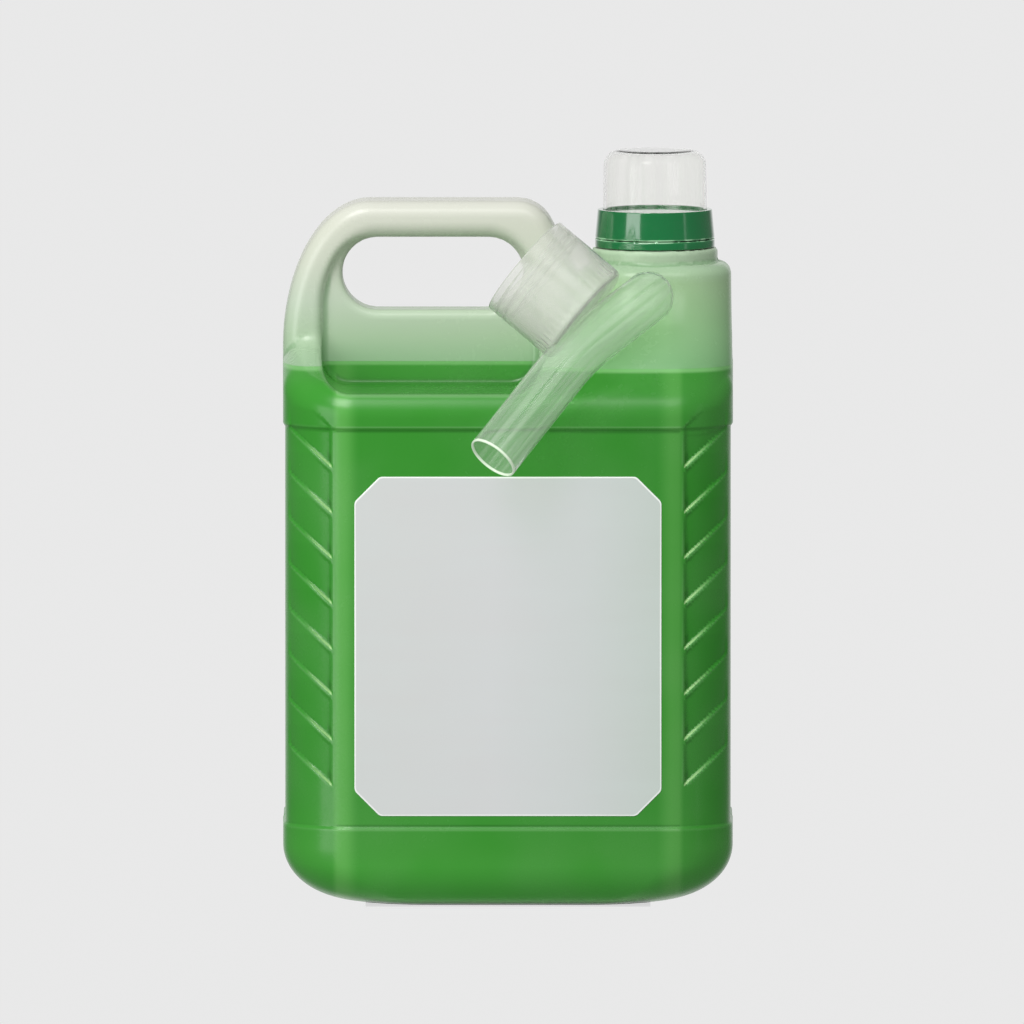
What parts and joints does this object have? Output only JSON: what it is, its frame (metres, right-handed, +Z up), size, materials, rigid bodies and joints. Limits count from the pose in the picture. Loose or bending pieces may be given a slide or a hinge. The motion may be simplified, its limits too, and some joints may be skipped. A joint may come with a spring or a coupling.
{
  "type": "coolant jug",
  "caption": "Blow-moulded jug of green coolant with an in-line handle, screw cap under a clear dosing cup, blank label and a clear pouring spout.",
  "frame": {"origin": "centre of the body's footprint on the surface that the jug stands on", "axes": "+Z up, -Y out of the label side, +X from the handle's rear leg towards the neck"},
  "size_m": [0.19, 0.1703, 0.3153],
  "materials": {
    "frosted_shell": "satin, translucent natural polyethylene",
    "green_coolant": "clear green liquid",
    "label_film": "matt blank label",
    "cap_green": "glossy moulded",
    "liner_white": "matt foam disc",
    "clear_cup": "clear polypropylene",
    "clear_spout": "clear flexible plastic"
  },
  "bodies": {
    "jug": {"jug_body": "frosted_shell", "coolant": "green_coolant", "front_label": "label_film", "tamper_band": "cap_green"},
    "liner": {"cap_liner": "liner_white"},
    "cap": {"screw_cap": "cap_green"},
    "cup": {"dosing_cup": "clear_cup"},
    "spout": {"pouring_spout": "clear_spout"}
  },
  "joints": [
    {"name": "cap_lift", "type": "slide", "parent": "jug", "child": "liner", "axis": [0, 0, 1], "range_m": [0, 0.009]},
    {"name": "cap_turn", "type": "hinge", "parent": "liner", "child": "cap", "pos_m": [0.062, 0, 0.28], "axis": [0, 0, 1], "range_deg": [0, 720]},
    {"name": "cup_lift", "type": "slide", "parent": "cap", "child": "cup", "axis": [0, 0, 1], "range_m": [0, 0.04]},
    {"name": "spout_pull", "type": "slide", "parent": "jug", "child": "spout", "axis": [0, -1, 0], "range_m": [0, 0.06]}
  ],
  "couplings": [
    {"joint": "cap_lift", "follows": "cap_turn", "m_per_rad": 0.00063662}
  ]
}
